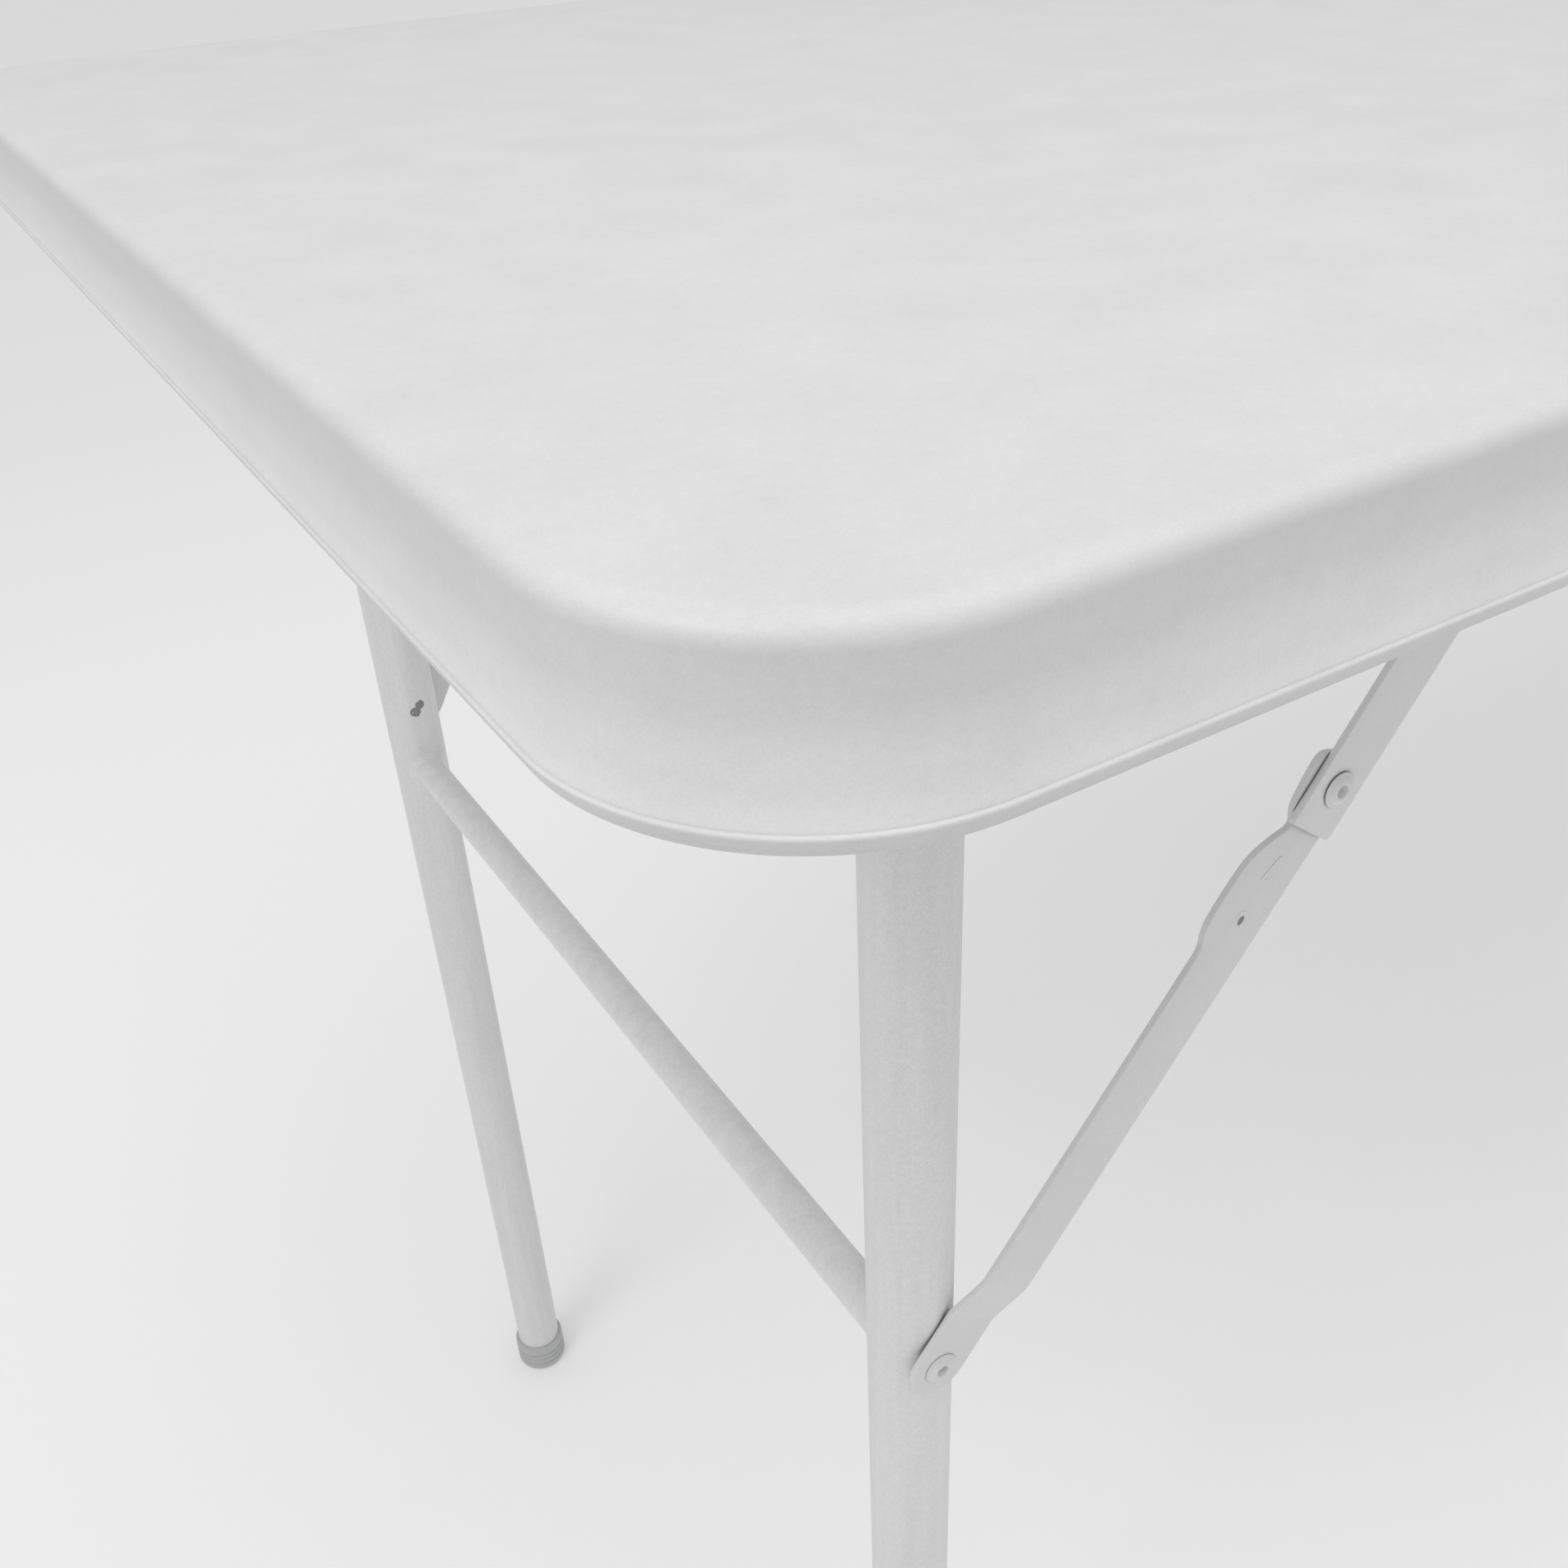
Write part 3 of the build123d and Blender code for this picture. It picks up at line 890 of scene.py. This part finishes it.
# ---- folding stays ---------------------------------------------------------------
@dataclass
class FoldingStay:
    """One folding stay: upper strap, shaped lower strap, knee plate and rivets."""

    end: End
    side: Side
    finish: bpy.types.Material
    pit_shadow_finish: bpy.types.Material
    reach: float = 211.9
    drop: float = 258.6
    hinge_drop: float = 40.4
    top_drop: float = 27.0
    over_centre: float = 0.03
    width: float = 19.0
    sheet: float = 2.0
    tail: float = 13.4
    pad_inner: float = 12.9
    joggle: float = 3.85
    joggle_start: float = 32.0
    joggle_run: float = 14.0
    joggle_ease: float = 0.08
    layer_gap: float = 0.3
    lug: float = 2.2
    notch: float = 4.0
    knuckle: float = 4.3
    plate_sheet: float = 1.2
    plate_length: float = 60.0
    plate_inset: float = 2.2
    lock_at: tuple[float, float] = (42.5, -1.4)
    head_radius: float = 5.25
    head_height: float = 1.5
    shank_radius: float = 3.0
    rivet_steps: int = 44
    pit_radius: float = 1.45
    edge_ease: float = 0.55
    end_cut: float = 0.9
    mark_proud: float = 0.2
    arms: tuple[float, float] = field(init=False)
    angles: tuple[float, float] = field(init=False)

    def __post_init__(self) -> None:
        """Work out the arm lengths and their slopes at rest."""
        rise = self.hinge_drop - self.top_drop
        fall, folded = self.drop + rise, self.drop - self.reach
        straight = math.hypot(self.reach, fall)
        total = straight + self.over_centre
        upper = (total**2 - folded**2 - rise**2) / (2 * (total + folded))
        lower = total - upper
        slope = math.atan2(fall, self.reach)
        bend_up = math.acos((straight**2 + upper**2 - lower**2) / (2 * straight * upper))
        bend_low = math.acos((straight**2 + lower**2 - upper**2) / (2 * straight * lower))
        self.arms = (upper, lower)
        self.angles = (math.pi + slope + bend_up, math.pi + slope - bend_low)

    @property
    def tag(self) -> str:
        """The corner's name, as the nodes have it."""
        return f"{self.end.name.lower()}_{self.side.name.lower()}"

    @property
    def lower_face(self) -> float:
        """Distance from the tube axis to the outer face of the lower strap."""
        return self.pad_inner + self.sheet + self.joggle

    @property
    def upper_face(self) -> float:
        """Distance from the tube axis to the outer face of the upper strap."""
        return self.lower_face + self.layer_gap + self.sheet

    def _place(self, at_knee: bool) -> Matrix:
        """The transform from an arm's own frame in millimetres to the table.

        Args:
            at_knee: True for the lower strap's frame, False for the upper strap's.

        Returns:
            The transform, mirrored to this stay's corner.
        """
        low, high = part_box("leg_left_near")
        point = Vector(((low[0] + high[0]) / 2, (low[1] + high[1]) / 2, 0))
        point.x += self.reach * MM
        point.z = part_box("table_top")[1][2] - self.top_drop * MM
        angle = self.angles[0]
        if at_knee:
            along = Vector((math.cos(angle), 0, math.sin(angle)))
            point = point + along * self.arms[0] * MM
            angle = self.angles[1]
        x_dir = Vector((math.cos(angle), 0, math.sin(angle)))
        z_dir = Vector((0, -1, 0))
        y_dir = z_dir.cross(x_dir)
        turn = Matrix((x_dir, y_dir, z_dir)).transposed().to_4x4()
        flip = Matrix.Diagonal((-self.end.value, -self.side.value, 1, 1))
        return flip @ Matrix.Translation(point) @ turn @ Matrix.Scale(MM, 4)

    def _finish(
        self,
        bm: bmesh.types.BMesh,
        name: str,
        at_knee: bool,
        node: str | None,
        finish: bpy.types.Material | None = None,
    ) -> None:
        """Place a shape, let it ride its body and stand for its plain node.

        Args:
            bm: The shape in its arm's frame, in millimetres.
            name: The piece's name without its corner.
            at_knee: True for the lower strap's frame, False for the upper strap's.
            node: The plain node it stands for, or None for an added detail.
            finish: Its finish, or None for the stay's own coat.
        """
        finish = finish or self.finish
        piece = finish_mesh(bm, f"{name}_{self.tag}", finish, self._place(at_knee))
        body = "stay_lower" if at_knee else "stay_upper"
        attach(piece, f"{body}_{self.tag}")
        if node:
            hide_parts(f"{node}_{self.tag}")

    def _round_end(self, centre: float, outward: int) -> list[tuple[float, float]]:
        """The half circle that ends a strap.

        Args:
            centre: Position of the pivot along the strap.
            outward: 1 for the far end, -1 for the near end.

        Returns:
            The points in order round the outline.
        """
        half = self.width / 2
        turns = [outward * math.pi / 2 * (step / 10 - 1) for step in range(21)]
        return [
            (centre + outward * half * math.cos(turn), outward * half * math.sin(outward * turn))
            for turn in turns
        ]

    def _strap(
        self, outline: list[tuple[float, float]], z_from: float, z_to: float
    ) -> bmesh.types.BMesh:
        """A flat pressed strap with its shear edges worn round.

        Args:
            outline: The corners, in millimetres.
            z_from: The lower face.
            z_to: The upper face.

        Returns:
            The strap.
        """
        bm = outline_plate(outline, z_from, z_to, 0.05, 1)
        ease = min(self.edge_ease, (z_to - z_from) * 0.4)
        bevel_edges(bm, level_edges(bm, z_to), ease, 3)
        bevel_edges(bm, level_edges(bm, z_from), ease, 2)
        return bm

    def _upper_strap(self) -> None:
        """The flat strap from the bracket to its cut end past the knee."""
        half, stop = self.width / 2, self.arms[0] + self.tail
        outline = self._round_end(0.0, -1)
        cut = self.end_cut
        outline += [(stop - cut, -half), (stop, -half + cut), (stop, half - cut)]
        outline += [(stop - cut, half)]
        face = self.upper_face
        self._finish(self._strap(outline, face - self.sheet, face), "strap", False, "upper_arm")

    def _shaped_edge(self, inset: float) -> list[tuple[float, float]]:
        """The flowing edge by the knee with its lug, notch and knuckle.

        Args:
            inset: How far the edge stands inside that of the strap.

        Returns:
            The edge as a list of points.
        """
        half = self.width / 2 - inset
        lug, notch, knuckle = half + self.lug, half - self.notch, half + self.knuckle
        points = [(-8.5, notch), (-6.5, lug - 0.9), (-2.7, lug), (9.2, half + 0.3)]
        points += [(11.6, half - 1.6), (13.7, notch), (15.8, notch + 0.5), (18.8, half - 0.8)]
        points += [(25.3, knuckle - 1.1), (31.3, knuckle), (45.4, knuckle)]
        points += [(50.2, knuckle - 1.4), (54.0, half), (60.0, half)]
        return soften([(x, -y) for x, y in points])

    def _step_down(self, bm: bmesh.types.BMesh) -> None:
        """Bend the strap in at the joggle, with a tight crease at each end.

        Args:
            bm: The flat strap, in millimetres.
        """
        start = self.arms[1] - self.joggle_start
        ease = self.joggle_ease
        for bend in (0.0, 1.0):
            for part in (-1.0, -0.5, 0.0, 0.5, 1.0):
                where = start + (bend + part * ease) * self.joggle_run
                geom = list(bm.verts) + list(bm.edges) + list(bm.faces)
                bmesh.ops.bisect_plane(
                    bm, geom=geom, plane_co=(where, 0, 0), plane_no=(1, 0, 0), dist=1e-5
                )
        for vert in bm.verts:
            along = (vert.co.x - start) / self.joggle_run
            ramp = min(max(along, 0.0), 1.0)
            if abs(along) < ease:
                ramp = (along + ease) ** 2 / (4 * ease)
            elif abs(along - 1) < ease:
                ramp = 1 - (1 - along + ease) ** 2 / (4 * ease)
            vert.co.z -= self.joggle * ramp

    def _lower_strap(self) -> None:
        """The strap from the knee to the leg, with a pressed mark on its knuckle."""
        half, face = self.width / 2, self.lower_face
        outline = self._shaped_edge(0.0) + self._round_end(self.arms[1], 1)
        outline += [(-4.5, half), (-7.4, half - 1.6), (-8.5, half - 4)]
        bm = self._strap(outline, face - self.sheet, face)
        self._step_down(bm)
        rim = [(22.6, -0.9), (30.2, -3.1), (30.5, -4.4), (22.3, -2.2)]
        crest = face + self.mark_proud
        mark = outline_plate(rim, face - 0.3, crest, 0.6, 4)
        bevel_edges(mark, level_edges(mark, crest), self.mark_proud * 0.9, 3)
        join_into(bm, mark)
        self._finish(bm, "shaped_strap", True, "lower_arm")

    def _knee_plate(self) -> None:
        """The thin plate that stiffens the knuckle from behind."""
        half = self.width / 2 - self.plate_inset
        stop, back = self.plate_length, self.lower_face - self.sheet
        outline = self._shaped_edge(self.plate_inset)[:-1]
        outline += [(stop, -half + 3), (stop, half - 3), (stop - 3, half)]
        outline += [(-4.5, half), (-8.0, half - 3)]
        bm = self._strap(outline, back - self.plate_sheet, back)
        self._finish(bm, "knuckle_plate", True, "knee_plate")

    def _rivet(
        self, crown: list[tuple[float, float]], foot_z: float, at: tuple[float, float]
    ) -> bmesh.types.BMesh:
        """A rivet with a given crown and a spread tail.

        Args:
            crown: Radius and height of the crown, from the middle out.
            foot_z: Height of the face the tail is spread on.
            at: Position along and across the strap.

        Returns:
            The rivet in millimetres.
        """
        shank = self.shank_radius
        tail_z = foot_z - 0.8
        profile = crown + [(shank, crown[-1][1]), (shank, foot_z), (shank + 1.6, foot_z)]
        profile += [(shank + 1.7, foot_z - 0.35), (shank + 1.0, tail_z), (0.0, tail_z)]
        bm = spun(profile, self.rivet_steps)
        bmesh.ops.translate(bm, vec=(*at, 0), verts=bm.verts)
        return bm

    def _set_crown(self, base: float) -> list[tuple[float, float]]:
        """A low crown with the pit and the ring that the rivet set leaves.

        Args:
            base: Height that the crown stands on.

        Returns:
            The profile from the middle outward.
        """
        rim, high = self.head_radius, self.head_height
        return [
            (0.0, base - high * 0.35),
            (rim * 0.2, base - high * 0.3),
            (rim * 0.3, base + high * 0.1),
            (rim * 0.37, base + high * 0.86),
            (rim * 0.45, base + high),
            (rim * 0.64, base + high * 0.9),
            (rim * 0.78, base + high * 0.6),
            (rim * 0.84, base + high * 0.42),
            (rim * 0.9, base + high * 0.46),
            (rim * 0.97, base + high * 0.32),
            (rim, base + high * 0.1),
            (rim * 0.97, base),
        ]

    def _rivets(self) -> None:
        """The knee rivet, the closed lock rivet and the rivet at the leg."""
        back = self.lower_face - self.sheet - self.plate_sheet
        knee = self._rivet(self._set_crown(self.upper_face + self.layer_gap), back, (0.0, 0.0))
        self._finish(knee, "knee_pivot", True, "knee_rivet")
        self._lock_rivet(back)
        pad = self.pad_inner
        foot = self._set_crown(pad + self.sheet)
        foot += [(self.shank_radius, pad + self.sheet), (self.shank_radius, pad), (0.0, pad)]
        bm = spun(foot, self.rivet_steps)
        bmesh.ops.translate(bm, vec=(self.arms[1], 0, 0), verts=bm.verts)
        self._finish(bm, "leg_pivot", True, "leg_rivet")

    def _lock_rivet(self, back: float) -> None:
        """The low ring of the rivet that the upper strap passes over, and a dark disc of painted
        shadow for its pit.

        Args:
            back: Height of the face that the rivet's tail sits on, in millimetres.
        """
        face = self.lower_face
        crown = [(0.0, face + 0.03), (1.5, face + 0.03), (1.8, face + 0.17), (2.1, face + 0.2)]
        crown += [(2.5, face + 0.18), (3.1, face + 0.08), (3.4, face - 0.1)]
        lock = self._rivet(crown, back, self.lock_at)
        self._finish(lock, "closed_rivet", True, "lock_rivet")
        # A thin dark disc on the face: painted shadow that stands for the rivet's pit.
        pit = bmesh.new()
        bmesh.ops.create_circle(
            pit, cap_ends=True, cap_tris=True, segments=28, radius=self.pit_radius
        )
        bmesh.ops.scale(pit, vec=(1.0, 0.7, 1.0), verts=pit.verts)
        bmesh.ops.translate(pit, vec=(*self.lock_at, face + 0.06), verts=pit.verts)
        bmesh.ops.solidify(pit, geom=list(pit.faces), thickness=0.15)
        self._finish(pit, "rivet_pit", True, None, self.pit_shadow_finish)

    def build(self) -> None:
        """Build every piece of the stay."""
        self._upper_strap()
        self._lower_strap()
        self._knee_plate()
        self._rivets()
        LOG.info("folding stay %s", self.tag)


# ---- studio --------------------------------------------------------------------
@dataclass(frozen=True)
class SoftBox:
    """One square soft light."""

    name: str
    at: tuple[float, float, float]
    size: float
    watts: float

    def hang(self, aim_at: tuple[float, float, float]) -> None:
        """Hang the light so that it faces a point.

        Args:
            aim_at: The point, in metres.
        """
        data = bpy.data.lights.new(self.name, "AREA")
        data.shape = "SQUARE"
        data.size = self.size
        data.energy = self.watts
        lamp = bpy.data.objects.new(self.name, data)
        lamp.location = self.at
        aim = Vector(aim_at) - Vector(self.at)
        lamp.rotation_euler = aim.to_track_quat("-Z", "Y").to_euler()
        bpy.context.scene.collection.objects.link(lamp)


@dataclass
class Studio:
    """Pale floor, soft white light and the camera."""

    camera_at: tuple[float, float, float] = (-0.95824, -0.43433, 0.83812)
    look_down: float = 32.94
    look_right: float = 30.29
    roll: float = 3.05
    lens_mm: float = 35.02
    sensor_mm: float = 36.0
    nearest_seen: float = 0.01
    white: str = "#FFFFFF"
    air_strength: float = 0.62
    lights_aim: tuple[float, float, float] = (-0.7, -0.2, 0.6)
    lights: tuple[SoftBox, ...] = (
        SoftBox("softbox_overhead", (-0.4, -0.7, 2.5), 2.0, 12.5),
        SoftBox("softbox_left", (-1.95, -0.35, 2.1), 0.8, 7.5),
    )
    floor_colour: str = "#F4F4F4"
    floor_glow: float = 0.13
    floor_reach: float = 30.0

    def _camera(self) -> None:
        """Set the camera at its place and angle."""
        data = bpy.data.cameras.new("camera")
        data.lens = self.lens_mm
        data.sensor_width = self.sensor_mm
        data.clip_start = self.nearest_seen
        camera = bpy.data.objects.new("camera", data)
        turn = Matrix.Rotation(math.radians(-self.look_right), 4, "Z")
        turn = turn @ Matrix.Rotation(math.radians(90 - self.look_down), 4, "X")
        turn = turn @ Matrix.Rotation(math.radians(-self.roll), 4, "Z")
        camera.matrix_world = Matrix.Translation(self.camera_at) @ turn
        bpy.context.scene.collection.objects.link(camera)
        bpy.context.scene.camera = camera

    def _floor(self) -> None:
        """Lay the plain floor."""
        bm = bmesh.new()
        bmesh.ops.create_grid(bm, x_segments=1, y_segments=1, size=self.floor_reach)
        # Matt painted board: a pale ground with hardly a reflection, which glows a little.
        material = bpy.data.materials.new("matt_studio_floor")
        material.use_nodes = True
        shader = material.node_tree.nodes["Principled BSDF"]
        shader.inputs["Base Color"].default_value = linear(self.floor_colour)
        shader.inputs["Roughness"].default_value = 0.9
        shader.inputs["Specular IOR Level"].default_value = 0.1
        shader.inputs["Emission Color"].default_value = linear(self.white)
        shader.inputs["Emission Strength"].default_value = self.floor_glow
        floor = finish_mesh(bm, "studio_floor", material)
        if floor.data.polygons[0].normal.z < 0:
            floor.data.flip_normals()

    def build(self) -> None:
        """Set up the whole studio."""
        scene = bpy.context.scene
        scene.view_settings.view_transform = "Standard"
        world = bpy.data.worlds.new("studio_air")
        world.use_nodes = True
        back = world.node_tree.nodes["Background"]
        back.inputs["Color"].default_value = linear(self.white)
        back.inputs["Strength"].default_value = self.air_strength
        scene.world = world
        for light in self.lights:
            light.hang(self.lights_aim)
        self._floor()
        self._camera()
        LOG.info("studio ready")


# ---- the table -----------------------------------------------------------------
@dataclass
class FoldingTable:
    """The whole table: carried-over steelwork and the pieces that stand for plain nodes."""

    # The tray's coat carries painted shade and highlight along its skirt, between these heights.
    top_coat: PowderCoat = PowderCoat(
        "powder_coat_tray", "#E2E2E2", "#D7D7D7", skirt_shading_mm=(730.2, 760.0)
    )
    tube_coat: PowderCoat = PowderCoat(
        "powder_coat_tube",
        "#E4E4E4",
        "#D0D0D0",
        roughness=0.38,
        peel_mm=1.8,
        cloud_mm=7.0,
        stretch=16.0,
    )
    stay_coat: PowderCoat = PowderCoat(
        "powder_coat_pressing", "#DDDDDD", "#D4D4D4", roughness=0.40, peel_mm=1.8
    )
    # Moulded polyethylene: dull pale grey with the faint spark texture of its tool.
    foot_plastic: DullGrain = DullGrain("moulded_polyethylene", "#B9BABA", 0.55, 0.5)
    # Painted shadow: a dull dark grey that stands for the shade in the depth of a small hole.
    hole_shadow_grey: DullGrain = DullGrain("bare_steel_in_shadow", "#858585", 0.7, 0.8)
    zinc: ZincPlate = ZincPlate()

    def build(self, frame: dict) -> None:
        """Build and dress the table.

        Args:
            frame: The loaded frame.
        """
        tube = self.tube_coat.make()
        stay = self.stay_coat.make()
        plastic = self.foot_plastic.make()
        zinc = self.zinc.make()
        hole_shadow = self.hole_shadow_grey.make()
        finishes = {
            "top_coat": self.top_coat.make(),
            "frame_coat": tube,
            "stay_coat": stay,
            "foot_plastic": plastic,
            "zinc_fasteners": zinc,
            "plain_steel": zinc,
        }
        for entry in frame["record"]["subparts"]:
            dress(frame["nodes"][entry["node"]], finishes[entry["material_slot"]])
        TrayTop(finishes["top_coat"]).build()
        for end in End:
            LegFrame(end, tube, plastic, hole_shadow).build()
        for end, side in CORNERS:
            FoldingStay(end, side, stay, hole_shadow).build()


def main() -> None:
    """Load the frame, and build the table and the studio."""
    logging.basicConfig(level=logging.INFO, format="%(name)s: %(message)s")
    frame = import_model()
    FoldingTable().build(frame)
    Studio().build()


if __name__ == "__main__":
    main()
